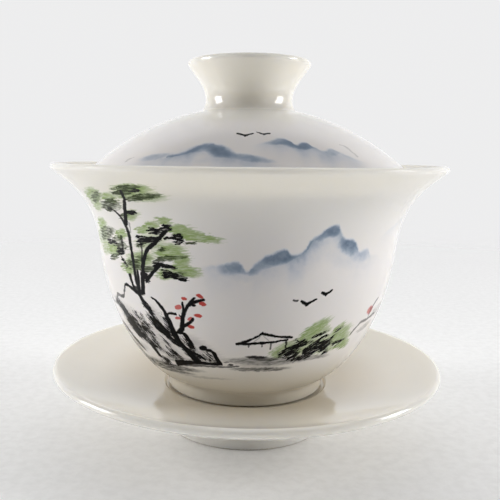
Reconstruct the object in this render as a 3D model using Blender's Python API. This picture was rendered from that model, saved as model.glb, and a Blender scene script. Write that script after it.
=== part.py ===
"""Gaiwan: saucer, bowl and lid, three turned porcelain pieces standing in one another.

Metres, +Z up.  The origin is on the common axis, on the surface that the saucer's foot
ring stands on.  Each piece is one closed profile in the XZ plane, turned about Z.  The
profiles are drawn in millimetres, in the place the piece has in the assembly.
"""

import math

import bmesh
import bpy
from mathutils import Matrix, Vector

MM = 0.001
SEGMENTS = 56               # flats round every turned piece
SHARP_EDGE = math.radians(40)
GAP = 0.3                   # clearance where a piece rests on the next
FOOT_ROUND = 0.5            # rounding of a foot ring's two lower edges
FOOT_DRAFT = 0.4            # a foot ring's inner wall leans in by this much
FOOT_FILLET = 1.2           # fillet between a foot ring's inner wall and the base
IVORY = (0.86, 0.84, 0.80)
GLAZE_ROUGHNESS = 0.12

# --- saucer -----------------------------------------------------------------------------
SAUCER_RIM_R = 51.6
SAUCER_RIM_Z = 18.15
SAUCER_LIP = 1.0            # half the thickness of the lip
SAUCER_LIP_FROM = 110       # the lip's rounding runs between these two directions, degrees
SAUCER_LIP_TO = -58
SAUCER_TOP_SLOPE = (10.5, 20)         # slope of the dish at the seat and at the lip
SAUCER_TOP_REACH = 9                  # handle length of the dish's curve
SAUCER_UNDER_SLOPE = (32, 13)         # slope of the underside at the lip and at the foot
SAUCER_UNDER_REACH = (7, 10)
SEAT_FLOOR_Z = 10.9         # flat seat that the bowl's foot ring stands in
SEAT_FLAT_R = 21.5
SEAT_EDGE = (22.5, 11.65)   # where the seat turns into the dish
SAUCER_FOOT_R = 21.5        # foot ring, at the table
SAUCER_FOOT_IN_R = 18.9
SAUCER_FOOT_TOP = (22.3, 6.0)         # foot ring, below its outer fillet
SAUCER_UNDER_FOOT = (23.9, 7.6)       # end of that fillet
SAUCER_BASE_Z = 7.3         # underside of the floor, inside the foot ring

# --- bowl -------------------------------------------------------------------------------
BOWL_RIM_R = 51.0
BOWL_RIM_Z = 70.5
BOWL_LIP = 0.8              # half the thickness of the lip
BOWL_FOOT_Z = SEAT_FLOOR_Z + GAP
BOWL_FOOT_R = 20.9
BOWL_FOOT_IN_R = 18.3
BOWL_FOOT_SIDE = (21.15, 13.7)        # foot ring, below its fillet into the belly
BOWL_FOOT_TOP = (21.6, 14.9)          # end of that fillet
BOWL_BASE_Z = 14.2          # underside of the floor, inside the foot ring
BOWL_FLOOR_Z = 17.4         # the well the tea stands in
BOWL_FLOOR_R = (6, 13)      # flat of the well, and its handle
BOWL_WAIST = (38.9, 49.0)   # steepest part of the side
BELLY_SLOPE = 28.3          # the side leaves the foot at this slope, in degrees,
WAIST_SLOPE = 83.9          # stands almost upright at the waist
FLARE_SLOPE = 37.0          # and ends in the flared rim
BELLY_REACH = (9.4, 16.5)   # handle lengths of the belly's curve
FLARE_REACH = (11.3, 8.7)   # handle lengths of the flare's curve
WALL_LOW = 2.9              # wall thickness near the foot, at the waist and at the rim
WALL_MID = 2.1
WALL_RIM = 1.6

# --- lid --------------------------------------------------------------------------------
DOME_R = 59.6               # the dome is part of a sphere centred on the axis
DOME_CENTRE_Z = 25.8
DOME_WALL = 2.3
LID_EDGE_R = 43.18          # where the dome's outer face turns over its edge
KNOB_RIM_R = 15.9           # widest part of the flared ring that serves as a handle
KNOB_TOP_Z = 97.0
KNOB_LIP = 1.0              # half the thickness of the ring's lip
KNOB_LIP_FROM = 155
KNOB_LIP_TO = -34
KNOB_NECK = (11.3, 86.6)
KNOB_NECK_REACH = 3.8       # handle lengths of the ring's inner and outer curves
KNOB_SKIRT_R = 12.9         # end of the fillet between the neck and the dome
KNOB_WELL_R = 8.3           # foot of the ring's inner wall, and end of its fillet
KNOB_FLOOR_R = 6.9


def arc(centre, radius, start, end, steps):
    """Points on an arc from start to end, in degrees, both ends included."""
    made = []
    for step in range(steps + 1):
        made.append(ahead(centre, start + (end - start) * step / steps, radius))
    return made


def bezier(first, first_handle, last_handle, last, steps):
    """Points on a cubic curve, both ends included."""
    made = []
    ends = (first, first_handle, last_handle, last)
    for step in range(steps + 1):
        t = step / steps
        weights = ((1 - t) ** 3, 3 * t * (1 - t) ** 2, 3 * t * t * (1 - t), t ** 3)
        made.append(tuple(sum(w * end[axis] for w, end in zip(weights, ends)) for axis in (0, 1)))
    return made


def ahead(point, slope, reach):
    """The point this far away in the direction of slope, in degrees."""
    angle = math.radians(slope)
    return (point[0] + reach * math.cos(angle), point[1] + reach * math.sin(angle))


def offset(points, near, far):
    """The same curve moved to its left, by a distance that runs evenly from near to far."""
    moved = []
    for index, point in enumerate(points):
        before = Vector(points[max(index - 1, 0)])
        after = Vector(points[min(index + 1, len(points) - 1)])
        along = (after - before).normalized()
        distance = near + (far - near) * index / (len(points) - 1)
        moved.append((point[0] - along.y * distance, point[1] + along.x * distance))
    return moved


def foot_ring(outer_r, inner_r, floor_z, base_z):
    """Under a foot ring from its outer edge, and in to the axis under the base."""
    fillet_r = inner_r - FOOT_DRAFT - FOOT_FILLET
    edge_z = floor_z + FOOT_ROUND
    return [
        *arc((outer_r - FOOT_ROUND, edge_z), FOOT_ROUND, 0, -90, 2),
        *arc((inner_r + FOOT_ROUND, edge_z), FOOT_ROUND, -90, -180, 2),
        *arc((fillet_r, base_z - FOOT_FILLET), FOOT_FILLET, 0, 90, 3),
        (0, base_z),
    ]


def saucer_profile():
    lip_centre = (SAUCER_RIM_R - SAUCER_LIP, SAUCER_RIM_Z - SAUCER_LIP)
    lip = arc(lip_centre, SAUCER_LIP, SAUCER_LIP_FROM, SAUCER_LIP_TO, 5)
    seat = bezier(
        (SEAT_FLAT_R, SEAT_FLOOR_Z),
        ahead((SEAT_FLAT_R, SEAT_FLOOR_Z), 0, GAP),
        ahead(SEAT_EDGE, SAUCER_TOP_SLOPE[0], -GAP),
        SEAT_EDGE,
        3,
    )
    dish = bezier(
        SEAT_EDGE,
        ahead(SEAT_EDGE, SAUCER_TOP_SLOPE[0], SAUCER_TOP_REACH),
        ahead(lip[0], SAUCER_TOP_SLOPE[1], -SAUCER_TOP_REACH),
        lip[0],
        6,
    )
    underside = bezier(
        lip[-1],
        ahead(lip[-1], SAUCER_UNDER_SLOPE[0], -SAUCER_UNDER_REACH[0]),
        ahead(SAUCER_UNDER_FOOT, SAUCER_UNDER_SLOPE[1], SAUCER_UNDER_REACH[1]),
        SAUCER_UNDER_FOOT,
        6,
    )
    fillet = bezier(
        SAUCER_UNDER_FOOT,
        ahead(SAUCER_UNDER_FOOT, SAUCER_UNDER_SLOPE[1], -FOOT_FILLET),
        ahead(SAUCER_FOOT_TOP, 90, FOOT_ROUND),
        SAUCER_FOOT_TOP,
        2,
    )
    ring = foot_ring(SAUCER_FOOT_R, SAUCER_FOOT_IN_R, 0, SAUCER_BASE_Z)
    return [(0, SEAT_FLOOR_Z)] + seat + dish[1:] + lip[1:] + underside[1:] + fillet[1:] + ring


def bowl_profile():
    lip_centre = (BOWL_RIM_R - BOWL_LIP, BOWL_RIM_Z - BOWL_LIP)
    lip = arc(lip_centre, BOWL_LIP, FLARE_SLOPE + 90, FLARE_SLOPE - 90, 4)
    belly = bezier(
        BOWL_FOOT_TOP,
        ahead(BOWL_FOOT_TOP, BELLY_SLOPE, BELLY_REACH[0]),
        ahead(BOWL_WAIST, WAIST_SLOPE, -BELLY_REACH[1]),
        BOWL_WAIST,
        7,
    )
    flare = bezier(
        BOWL_WAIST,
        ahead(BOWL_WAIST, WAIST_SLOPE, FLARE_REACH[0]),
        ahead(lip[-1], FLARE_SLOPE, -FLARE_REACH[1]),
        lip[-1],
        7,
    )
    inner_belly = offset(belly, WALL_LOW, WALL_MID)[2:]
    inner_flare = offset(flare, WALL_MID, WALL_RIM)
    well = bezier(
        (BOWL_FLOOR_R[0], BOWL_FLOOR_Z),
        (BOWL_FLOOR_R[1], BOWL_FLOOR_Z),
        ahead(inner_belly[0], WAIST_SLOPE / 2, -FOOT_FILLET * 4),
        inner_belly[0],
        3,
    )
    inside = [(0, BOWL_FLOOR_Z)] + well + inner_belly[1:] + inner_flare[1:-1]
    outside = (belly + flare[1:])[::-1]
    ring = foot_ring(BOWL_FOOT_R, BOWL_FOOT_IN_R, BOWL_FOOT_Z, BOWL_BASE_Z)
    return inside + lip + outside[1:] + [BOWL_FOOT_SIDE] + ring


def dome(radius, wall=0):
    """A point on the dome's outer face, or below it by the wall."""
    return (radius, DOME_CENTRE_Z + math.sqrt((DOME_R - wall) ** 2 - radius ** 2))


def dome_slope(radius):
    """The direction in which the dome's face stands from its centre, in degrees."""
    return math.degrees(math.acos(radius / DOME_R))


def lid_profile():
    dome_centre = (0, DOME_CENTRE_Z)
    lip_centre = (KNOB_RIM_R - KNOB_LIP, KNOB_TOP_Z - KNOB_LIP)
    lip = arc(lip_centre, KNOB_LIP, KNOB_LIP_FROM, KNOB_LIP_TO, 5)
    well = (KNOB_WELL_R, dome(KNOB_WELL_R)[1] + GAP)
    ring_inside = bezier(
        well,
        ahead(well, 84, KNOB_NECK_REACH),
        ahead(lip[0], KNOB_LIP_FROM - 90, -KNOB_NECK_REACH),
        lip[0],
        4,
    )
    ring_outside = bezier(
        lip[-1],
        ahead(lip[-1], KNOB_LIP_TO + 90, -KNOB_NECK_REACH),
        ahead(KNOB_NECK, 90, KNOB_NECK_REACH),
        KNOB_NECK,
        5,
    )
    skirt = dome(KNOB_SKIRT_R)
    fillet = bezier(
        KNOB_NECK,
        ahead(KNOB_NECK, -90, KNOB_LIP),
        ahead(skirt, dome_slope(KNOB_SKIRT_R) + 90, KNOB_LIP),
        skirt,
        3,
    )
    edge = dome_slope(LID_EDGE_R)
    edge_centre = ahead(dome_centre, edge, DOME_R - DOME_WALL / 2)
    outer_face = arc(dome_centre, DOME_R, dome_slope(KNOB_SKIRT_R), edge, 8)
    edge_round = arc(edge_centre, DOME_WALL / 2, edge, edge - 180, 4)
    inner_face = arc(dome_centre, DOME_R - DOME_WALL, edge, 90, 8)
    knob = [dome(0), dome(KNOB_FLOOR_R)] + ring_inside + lip[1:] + ring_outside[1:] + fillet[1:]
    return knob + outer_face[1:] + edge_round[1:] + inner_face[1:-1] + [dome(0, DOME_WALL)]


def glaze(name):
    made = bpy.data.materials.new(name)
    made.use_nodes = True
    shader = made.node_tree.nodes["Principled BSDF"]
    shader.inputs["Base Color"].default_value = (*IVORY, 1)
    shader.inputs["Roughness"].default_value = GLAZE_ROUGHNESS
    shader.inputs["Metallic"].default_value = 0
    made.diffuse_color = (*IVORY, 1)
    return made


def turned(name, profile, origin_z, below=None):
    """Turns a profile that starts on the axis at the top and ends on the axis below.

    The object's origin is on the axis at origin_z.  It is parented to the piece below.
    """
    mesh = bmesh.new()
    rings = []
    for radius, height in profile:
        point = Vector((radius * MM, 0, (height - origin_z) * MM))
        ring = []
        for step in range(SEGMENTS if radius else 1):
            turn = Matrix.Rotation(2 * math.pi * step / SEGMENTS, 3, "Z")
            ring.append(mesh.verts.new(turn @ point))
        rings.append(ring)
    for upper, lower in zip(rings, rings[1:]):
        for step in range(SEGMENTS):
            corners = [upper[step % len(upper)], lower[step % len(lower)]]
            corners += [lower[(step + 1) % len(lower)], upper[(step + 1) % len(upper)]]
            mesh.faces.new(dict.fromkeys(corners))
    bmesh.ops.recalc_face_normals(mesh, faces=mesh.faces)
    data = bpy.data.meshes.new(name)
    mesh.to_mesh(data)
    mesh.free()
    data.shade_smooth()
    data.set_sharp_from_angle(angle=SHARP_EDGE)
    data.materials.append(glaze(name + "_glaze"))
    made = bpy.data.objects.new(name, data)
    bpy.context.scene.collection.objects.link(made)
    made.parent = below
    made.location.z = origin_z * MM - (below.matrix_world.translation.z if below else 0)
    bpy.context.view_layer.update()
    return made


for old in list(bpy.data.objects):
    bpy.data.objects.remove(old, do_unlink=True)

saucer = turned("saucer", saucer_profile(), 0)
bowl = turned("bowl", bowl_profile(), BOWL_FOOT_Z, below=saucer)
lid = turned("lid", lid_profile(), BOWL_RIM_Z, below=bowl)
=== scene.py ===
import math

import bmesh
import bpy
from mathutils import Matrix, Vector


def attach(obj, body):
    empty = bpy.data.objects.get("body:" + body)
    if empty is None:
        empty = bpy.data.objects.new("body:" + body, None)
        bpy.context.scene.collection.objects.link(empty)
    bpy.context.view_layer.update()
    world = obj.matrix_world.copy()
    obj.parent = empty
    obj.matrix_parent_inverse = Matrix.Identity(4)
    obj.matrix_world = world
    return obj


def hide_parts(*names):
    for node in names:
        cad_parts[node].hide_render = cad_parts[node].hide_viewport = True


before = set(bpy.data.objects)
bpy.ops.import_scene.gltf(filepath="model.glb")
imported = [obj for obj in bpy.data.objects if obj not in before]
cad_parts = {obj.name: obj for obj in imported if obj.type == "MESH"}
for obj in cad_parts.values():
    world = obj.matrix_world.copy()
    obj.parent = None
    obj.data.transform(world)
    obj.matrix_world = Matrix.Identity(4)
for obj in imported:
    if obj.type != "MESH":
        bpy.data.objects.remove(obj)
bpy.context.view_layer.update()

# Looks of the gaiwan: three pieces of ivory porcelain, turned from the profiles that the
# frame has, and a landscape painted under the glaze of the bowl and of the lid.
#
# Metres, +Z up, origin on the axis at the table, -Y in front.  Profiles and strokes are in
# millimetres.  A stroke's point is (turn, height) on the bowl, with the turn in degrees
# round the axis: 0 in front, positive to the right.

MM = 0.001
SEGMENTS = 240  # flats round a turned piece
FINE = 4  # points on a profile curve for each one that the frame has

# --- profiles ---
# A point is (radius, height).  A slope is in degrees above level, at the start and at the
# end of a curve, and a reach is the length of the handle there.
GAP = 0.3
FOOT_ROUND = 0.5
FOOT_DRAFT = 0.4
FOOT_FILLET = 1.2

SAUCER_RIM_R = 51.6
SAUCER_RIM_Z = 18.15
SAUCER_LIP = 1.0
SAUCER_LIP_FROM = 110
SAUCER_LIP_TO = -58
SAUCER_TOP_SLOPE = (10.5, 20)
SAUCER_TOP_REACH = 9
SAUCER_UNDER_SLOPE = (32, 13)
SAUCER_UNDER_REACH = (7, 10)
SEAT_FLOOR_Z = 10.9
SEAT_FLAT_R = 21.5
SEAT_EDGE = (22.5, 11.65)
SAUCER_FOOT_R = 21.5
SAUCER_FOOT_IN_R = 18.9
SAUCER_FOOT_TOP = (22.3, 6.0)
SAUCER_UNDER_FOOT = (23.9, 7.6)
SAUCER_BASE_Z = 7.3

BOWL_RIM_R = 51.0
BOWL_RIM_Z = 70.5
BOWL_LIP = 0.8
BOWL_FOOT_Z = SEAT_FLOOR_Z + GAP
BOWL_FOOT_R = 20.9
BOWL_FOOT_IN_R = 18.3
BOWL_FOOT_SIDE = (21.15, 13.7)
BOWL_FOOT_TOP = (21.6, 14.9)
BOWL_BASE_Z = 14.2
BOWL_FLOOR_Z = 17.4
BOWL_FLOOR_R = 6
BOWL_FLOOR_REACH = 7
BOWL_WAIST = (38.9, 49.0)
BELLY_SLOPE = 28.3
WAIST_SLOPE = 83.9
FLARE_SLOPE = 37.0
BELLY_REACH = (9.4, 16.5)
FLARE_REACH = (11.3, 8.7)
WALL_LOW = 2.9
WALL_MID = 2.1
WALL_RIM = 1.6

DOME_R = 59.6
DOME_CENTRE_Z = 25.8
DOME_WALL = 2.3
LID_EDGE_R = 43.18
KNOB_RIM_R = 15.9
KNOB_TOP_Z = 97.0
KNOB_LIP = 1.0
KNOB_LIP_FROM = 155
KNOB_LIP_TO = -34
KNOB_NECK = (11.3, 86.6)
KNOB_NECK_REACH = 3.8
KNOB_SKIRT_R = 12.9
KNOB_WELL_R = 8.3
KNOB_WELL_SLOPE = 84
KNOB_FLOOR_R = 6.9


def ahead(point, slope, reach):
    """The point this far away in the direction of slope, in degrees."""
    angle = math.radians(slope)
    return (point[0] + reach * math.cos(angle), point[1] + reach * math.sin(angle))


def arc(centre, radius, start, end, steps):
    """Points on an arc from start to end, in degrees, both ends included."""
    steps *= FINE
    turns = [start + (end - start) * step / steps for step in range(steps + 1)]
    return [ahead(centre, turn, radius) for turn in turns]


def bezier(first, first_handle, last_handle, last, steps):
    """Points on a cubic curve, both ends included.  A handle is (slope, reach) from its end."""
    made = []
    ends = (first, ahead(first, *first_handle), ahead(last, *last_handle), last)
    for step in range(steps * FINE + 1):
        t = step / (steps * FINE)
        weights = ((1 - t) ** 3, 3 * t * (1 - t) ** 2, 3 * t * t * (1 - t), t ** 3)
        made.append(tuple(sum(w * end[axis] for w, end in zip(weights, ends)) for axis in (0, 1)))
    return made


def offset(points, near, far):
    """The same curve moved to its left, by a distance that runs evenly from near to far."""
    moved = []
    for index, point in enumerate(points):
        before = Vector(points[max(index - 1, 0)])
        after = Vector(points[min(index + 1, len(points) - 1)])
        along = (after - before).normalized()
        distance = near + (far - near) * index / (len(points) - 1)
        moved.append((point[0] - along.y * distance, point[1] + along.x * distance))
    return moved


def foot_ring(outer_r, inner_r, floor_z, base_z):
    """Under a foot ring from its outer edge, and in to the axis under the base."""
    fillet_r = inner_r - FOOT_DRAFT - FOOT_FILLET
    edge_z = floor_z + FOOT_ROUND
    return [
        *arc((outer_r - FOOT_ROUND, edge_z), FOOT_ROUND, 0, -90, 2),
        *arc((inner_r + FOOT_ROUND, edge_z), FOOT_ROUND, -90, -180, 2),
        *arc((fillet_r, base_z - FOOT_FILLET), FOOT_FILLET, 0, 90, 3),
        (0, base_z),
    ]


def saucer_profile():
    """From the axis on top, over the rim, and back to the axis underneath."""
    lip_centre = (SAUCER_RIM_R - SAUCER_LIP, SAUCER_RIM_Z - SAUCER_LIP)
    lip = arc(lip_centre, SAUCER_LIP, SAUCER_LIP_FROM, SAUCER_LIP_TO, 5)
    well_slope, top_slope = SAUCER_TOP_SLOPE
    reach = SAUCER_TOP_REACH
    seat_flat = (SEAT_FLAT_R, SEAT_FLOOR_Z)
    seat = bezier(seat_flat, (0, GAP), (well_slope, -GAP), SEAT_EDGE, 3)
    dish = bezier(SEAT_EDGE, (well_slope, reach), (top_slope, -reach), lip[0], 6)
    lip_slope, foot_slope = SAUCER_UNDER_SLOPE
    lip_reach, foot_reach = SAUCER_UNDER_REACH
    foot = SAUCER_UNDER_FOOT
    underside = bezier(lip[-1], (lip_slope, -lip_reach), (foot_slope, foot_reach), foot, 6)
    fillet = bezier(foot, (foot_slope, -FOOT_FILLET), (90, FOOT_ROUND), SAUCER_FOOT_TOP, 2)
    ring = foot_ring(SAUCER_FOOT_R, SAUCER_FOOT_IN_R, 0, SAUCER_BASE_Z)
    return [(0, SEAT_FLOOR_Z)] + seat + dish[1:] + lip[1:] + underside[1:] + fillet[1:] + ring


def bowl_profile():
    """From the axis inside, over the rim, and back to the axis underneath."""
    lip_centre = (BOWL_RIM_R - BOWL_LIP, BOWL_RIM_Z - BOWL_LIP)
    lip = arc(lip_centre, BOWL_LIP, FLARE_SLOPE + 90, FLARE_SLOPE - 90, 4)
    low, high = BELLY_REACH
    belly = bezier(BOWL_FOOT_TOP, (BELLY_SLOPE, low), (WAIST_SLOPE, -high), BOWL_WAIST, 7)
    low, high = FLARE_REACH
    flare = bezier(BOWL_WAIST, (WAIST_SLOPE, low), (FLARE_SLOPE, -high), lip[-1], 7)
    # The well's curve takes the place of the inner belly's first two steps.
    inner_belly = offset(belly, WALL_LOW, WALL_MID)[2 * FINE:]
    inner_flare = offset(flare, WALL_MID, WALL_RIM)
    level = (0, BOWL_FLOOR_REACH)
    rising = (WAIST_SLOPE / 2, -FOOT_FILLET * 4)
    well = bezier((BOWL_FLOOR_R, BOWL_FLOOR_Z), level, rising, inner_belly[0], 3)
    inside = [(0, BOWL_FLOOR_Z)] + well + inner_belly[1:] + inner_flare[1:-1]
    outside = (belly + flare[1:])[::-1]
    ring = foot_ring(BOWL_FOOT_R, BOWL_FOOT_IN_R, BOWL_FOOT_Z, BOWL_BASE_Z)
    return inside + lip + outside[1:] + [BOWL_FOOT_SIDE] + ring


def dome(radius, wall=0):
    """A point on the dome's outer face, or below it by the wall."""
    return (radius, DOME_CENTRE_Z + math.sqrt((DOME_R - wall) ** 2 - radius ** 2))


def dome_slope(radius):
    """The direction in which the dome's face stands from its centre, in degrees."""
    return math.degrees(math.acos(radius / DOME_R))


def lid_profile():
    """From the axis in the knob's well, over its rim, and back to the axis under the dome."""
    dome_centre = (0, DOME_CENTRE_Z)
    lip_centre = (KNOB_RIM_R - KNOB_LIP, KNOB_TOP_Z - KNOB_LIP)
    lip = arc(lip_centre, KNOB_LIP, KNOB_LIP_FROM, KNOB_LIP_TO, 5)
    well = (KNOB_WELL_R, dome(KNOB_WELL_R)[1] + GAP)
    reach = KNOB_NECK_REACH
    ring_inside = bezier(well, (KNOB_WELL_SLOPE, reach), (KNOB_LIP_FROM - 90, -reach), lip[0], 4)
    ring_outside = bezier(lip[-1], (KNOB_LIP_TO + 90, -reach), (90, reach), KNOB_NECK, 5)
    skirt_slope = dome_slope(KNOB_SKIRT_R) + 90
    skirt = dome(KNOB_SKIRT_R)
    fillet = bezier(KNOB_NECK, (-90, KNOB_LIP), (skirt_slope, KNOB_LIP), skirt, 3)
    edge = dome_slope(LID_EDGE_R)
    edge_centre = ahead(dome_centre, edge, DOME_R - DOME_WALL / 2)
    outer_face = arc(dome_centre, DOME_R, dome_slope(KNOB_SKIRT_R), edge, 8)
    edge_round = arc(edge_centre, DOME_WALL / 2, edge, edge - 180, 4)
    inner_face = arc(dome_centre, DOME_R - DOME_WALL, edge, 90, 8)
    knob = [dome(0), dome(KNOB_FLOOR_R)] + ring_inside + lip[1:] + ring_outside[1:] + fillet[1:]
    return knob + outer_face[1:] + edge_round[1:] + inner_face[1:-1] + [dome(0, DOME_WALL)]


def turned(name, profile, materials, slot_at=None):
    """Turns a profile about Z.  slot_at picks a face's material, from its points and its turn."""
    mesh = bmesh.new()
    rings = []
    for radius, height in profile:
        point = Vector((radius * MM, 0, height * MM))
        ring = []
        for step in range(SEGMENTS if radius else 1):
            turn = Matrix.Rotation(2 * math.pi * step / SEGMENTS, 3, "Z")
            ring.append(mesh.verts.new(turn @ point))
        rings.append(ring)
    for index, (upper, lower) in enumerate(zip(rings, rings[1:])):
        for step in range(SEGMENTS):
            corners = [upper[step % len(upper)], lower[step % len(lower)]]
            corners += [lower[(step + 1) % len(lower)], upper[(step + 1) % len(upper)]]
            face = mesh.faces.new(dict.fromkeys(corners))
            if slot_at:
                turn = (360 * (step + 0.5) / SEGMENTS + 90) % 360
                face.material_index = slot_at(profile[index], profile[index + 1], turn)
    bmesh.ops.recalc_face_normals(mesh, faces=mesh.faces)
    data = bpy.data.meshes.new(name)
    mesh.to_mesh(data)
    mesh.free()
    data.shade_smooth()
    for material in materials:
        data.materials.append(material)
    made = bpy.data.objects.new(name, data)
    bpy.context.scene.collection.objects.link(made)
    return made


# --- shader nodes ---


class Nodes:
    """Adds nodes to a node tree.  Each method returns the output of what it added."""

    def __init__(self, tree):
        self.tree = tree

    def add(self, kind, inputs=(), **settings):
        node = self.tree.nodes.new(kind)
        for name, value in settings.items():
            setattr(node, name, value)
        for key, value in dict(inputs).items():
            self.set(node.inputs[key], value)
        return node

    def set(self, socket, value):
        if isinstance(value, bpy.types.NodeSocket):
            self.tree.links.new(value, socket)
        else:
            socket.default_value = value

    def math(self, operation, *values):
        node = self.add("ShaderNodeMath", operation=operation)
        for socket, value in zip(node.inputs, values):
            self.set(socket, value)
        return node.outputs[0]

    def vector(self, operation, *values):
        node = self.add("ShaderNodeVectorMath", operation=operation)
        for socket, value in zip(node.inputs, values):
            self.set(socket, value)
        return node.outputs["Value" if operation in ("LENGTH", "DOT_PRODUCT") else "Vector"]

    def scaled(self, vector, factor):
        inputs = {"Vector": vector, "Scale": factor}
        return self.add("ShaderNodeVectorMath", inputs, operation="SCALE").outputs[0]

    def split(self, vector):
        """The vector's X, Y and Z."""
        return tuple(self.add("ShaderNodeSeparateXYZ", {"Vector": vector}).outputs)

    def join(self, x, y, z):
        return self.add("ShaderNodeCombineXYZ", {"X": x, "Y": y, "Z": z}).outputs[0]

    def drawn_out(self, vector, turn, size):
        """The vector in the frame of a shape that is turned and sized like this."""
        inputs = {"Vector": vector, "Rotation": (0, 0, turn), "Scale": size}
        return self.add("ShaderNodeMapping", inputs, vector_type="TEXTURE").outputs[0]

    def between(self, value, low, high, to_low=0.0, to_high=1.0):
        """to_low where value is at low or beyond, and smoothly to to_high, at high or beyond."""
        names = ("Value", "From Min", "From Max", "To Min", "To Max")
        inputs = dict(zip(names, (value, low, high, to_low, to_high)))
        return self.add("ShaderNodeMapRange", inputs, interpolation_type="SMOOTHSTEP").outputs[0]

    def noise(self, vector, scale, detail, roughness):
        inputs = {"Vector": vector, "Scale": scale, "Detail": detail, "Roughness": roughness}
        return self.add("ShaderNodeTexNoise", inputs).outputs

    def curve(self, value, points):
        """A curve through the points (input, output), level beyond its ends."""
        node = self.add("ShaderNodeFloatCurve", {"Value": value})
        mapping = node.mapping
        mapping.use_clip = False
        mapping.extend = "HORIZONTAL"
        curve = mapping.curves[0]
        while len(curve.points) < len(points):
            curve.points.new(points[-1][0], points[-1][1])
        for made, (x, y) in zip(curve.points, sorted(points)):
            made.location = (x, y)
            made.handle_type = "AUTO_CLAMPED"
        mapping.update()
        return node.outputs[0]

    def mix(self, factor, below, above):
        node = self.add("ShaderNodeMix", data_type="RGBA")
        for key, value in (("Factor_Float", factor), ("A_Color", below), ("B_Color", above)):
            socket = next(made for made in node.inputs if made.identifier == key)
            self.set(socket, value)
        return next(made for made in node.outputs if made.identifier == "Result_Color")


# --- painting ---
MM_PER_DEGREE = math.radians(38)  # along the bowl's side, at its middle radius
LID_MM_PER_DEGREE = MM_PER_DEGREE * 0.9
HALF_SCENE = math.pi / 2  # the landscape fills half a turn and is painted twice
BLEED = 0.08  # ink spreads this far into the glaze
UNSTEADY = 0.75  # the brush strays within this, from side to side
DRAGGED = 1.5  # and its paint is dragged no further than this past a stroke's points
HAND_TREMOR = 900  # noise scales, per metre: how the brush strays,
BLUE_GRAIN = 420  # mottling of the bowl's hills,
BLUE_CLOUDS = 260  # and of the lid's
MOST_SLANT = 1.6  # a steep stretch of a line is widened by no more
LINE_END = (0.3, -0.6)  # this far past a line's end, its half width is this: no paint

LEVEL = 6  # slopes of brush marks: leaves and water,
LEANING = 27  # the bush,
FALLING = -40  # and the rock

HILL_DEPTH = 10.0
FAR_HILL_DEPTH = 5.0
LID_HILL_DEPTH = 10.5
HILL_EDGE = (-0.55, 0.8)  # the paint comes in over this much, below the ridge
HILL_FADE = [(0, 0.85), (0.12, 0.66), (0.4, 0.42), (0.7, 0.2), (1, 0)]  # over the depth
CREST_INK = 0.95
THIN = (0, 0.8)  # amounts of wet blue over which its pale tone comes in,
THICK = (0.3, 1.2)  # and its dull one

INK = (0.002, 0.002, 0.0025, 1)
GREY = (0.045, 0.048, 0.042, 1)
LEAF = (0.30, 0.43, 0.12, 1)
LEAF_DEEP = (0.12, 0.19, 0.045, 1)
PINE = (0.030, 0.040, 0.016, 1)
BLUE = (0.075, 0.125, 0.19, 1)
BLUE_PALE = (0.33, 0.44, 0.60, 1)
RED = (0.52, 0.075, 0.06, 1)


def line(points, width, ink=1.0, soft=0.12):
    """A stroke along the points.  width is in millimetres, at its start and at its end."""
    return {"points": points, "width": width, "ink": ink, "soft": soft}


def dab(start, end, width, ink=1.0, soft=0.35):
    """A leaf-shaped touch of the brush.  soft is the part of it that fades at the edge."""
    return {"dab": (start, end), "width": width, "ink": ink, "soft": soft}


def dabs(*rows):
    """A dab for each row of what dab() takes."""
    return [dab(*row) for row in rows]


TREE_WASH = dabs(
    ((-39, 65.2), (-25.5, 65.9), 2.1, 0.9, 0.6), ((-41, 64.2), (-23, 64), 2.4, 0.7, 0.7),
    ((-60, 62.3), (-48, 64.4), 2.9, 0.9, 0.7), ((-60, 60.3), (-52, 62), 2.7, 0.7, 0.8),
    ((-48, 62.9), (-41, 63.3), 2.2, 0.9, 0.6), ((-41, 58.6), (-35, 60.2), 2.2, 0.7, 0.7),
    ((-65, 55.2), (-56, 56.9), 2.9, 0.9, 0.7), ((-73, 51.6), (-58, 53.8), 3.4, 0.6, 0.8),
    ((-66, 49.6), (-56, 51.2), 3.4, 0.6, 0.8), ((-59, 50.1), (-50, 50.8), 2.7, 0.9, 0.7),
    ((-50, 54), (-43, 55.2), 2.3, 0.9, 0.6), ((-38, 55.9), (-33, 56.3), 1.5, 0.9, 0.6),
    ((-33.5, 56.9), (-28, 57.4), 2.2, 0.9, 0.6), ((-28.5, 58.6), (-23, 58.8), 1.6, 0.9, 0.6),
    ((-25, 56.9), (-17, 57.1), 2.2, 0.9, 0.6), ((-22, 56.1), (-12, 55.4), 2.4, 0.9, 0.6),
    ((-17, 55.9), (-8, 54.8), 1.8, 0.9, 0.6), ((-31, 51.3), (-20, 52.3), 3.4, 0.9, 0.6),
    ((-25, 50.6), (-18, 50.3), 2.7, 0.9, 0.6), ((-41.5, 49.1), (-32, 50), 3.2, 0.8, 0.7),
    ((-31, 46.2), (-24, 46.9), 2.4, 0.9, 0.6), ((-25, 48.4), (-15, 47.4), 2.7, 0.9, 0.6),
    ((-48.5, 46.9), (-42, 45.9), 2.2, 0.8, 0.7), ((-39, 52.8), (-27, 54.6), 3.4, 0.5, 0.8),
    ((-46, 47.6), (-37, 49.4), 3.7, 0.6, 0.8),
)

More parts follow.
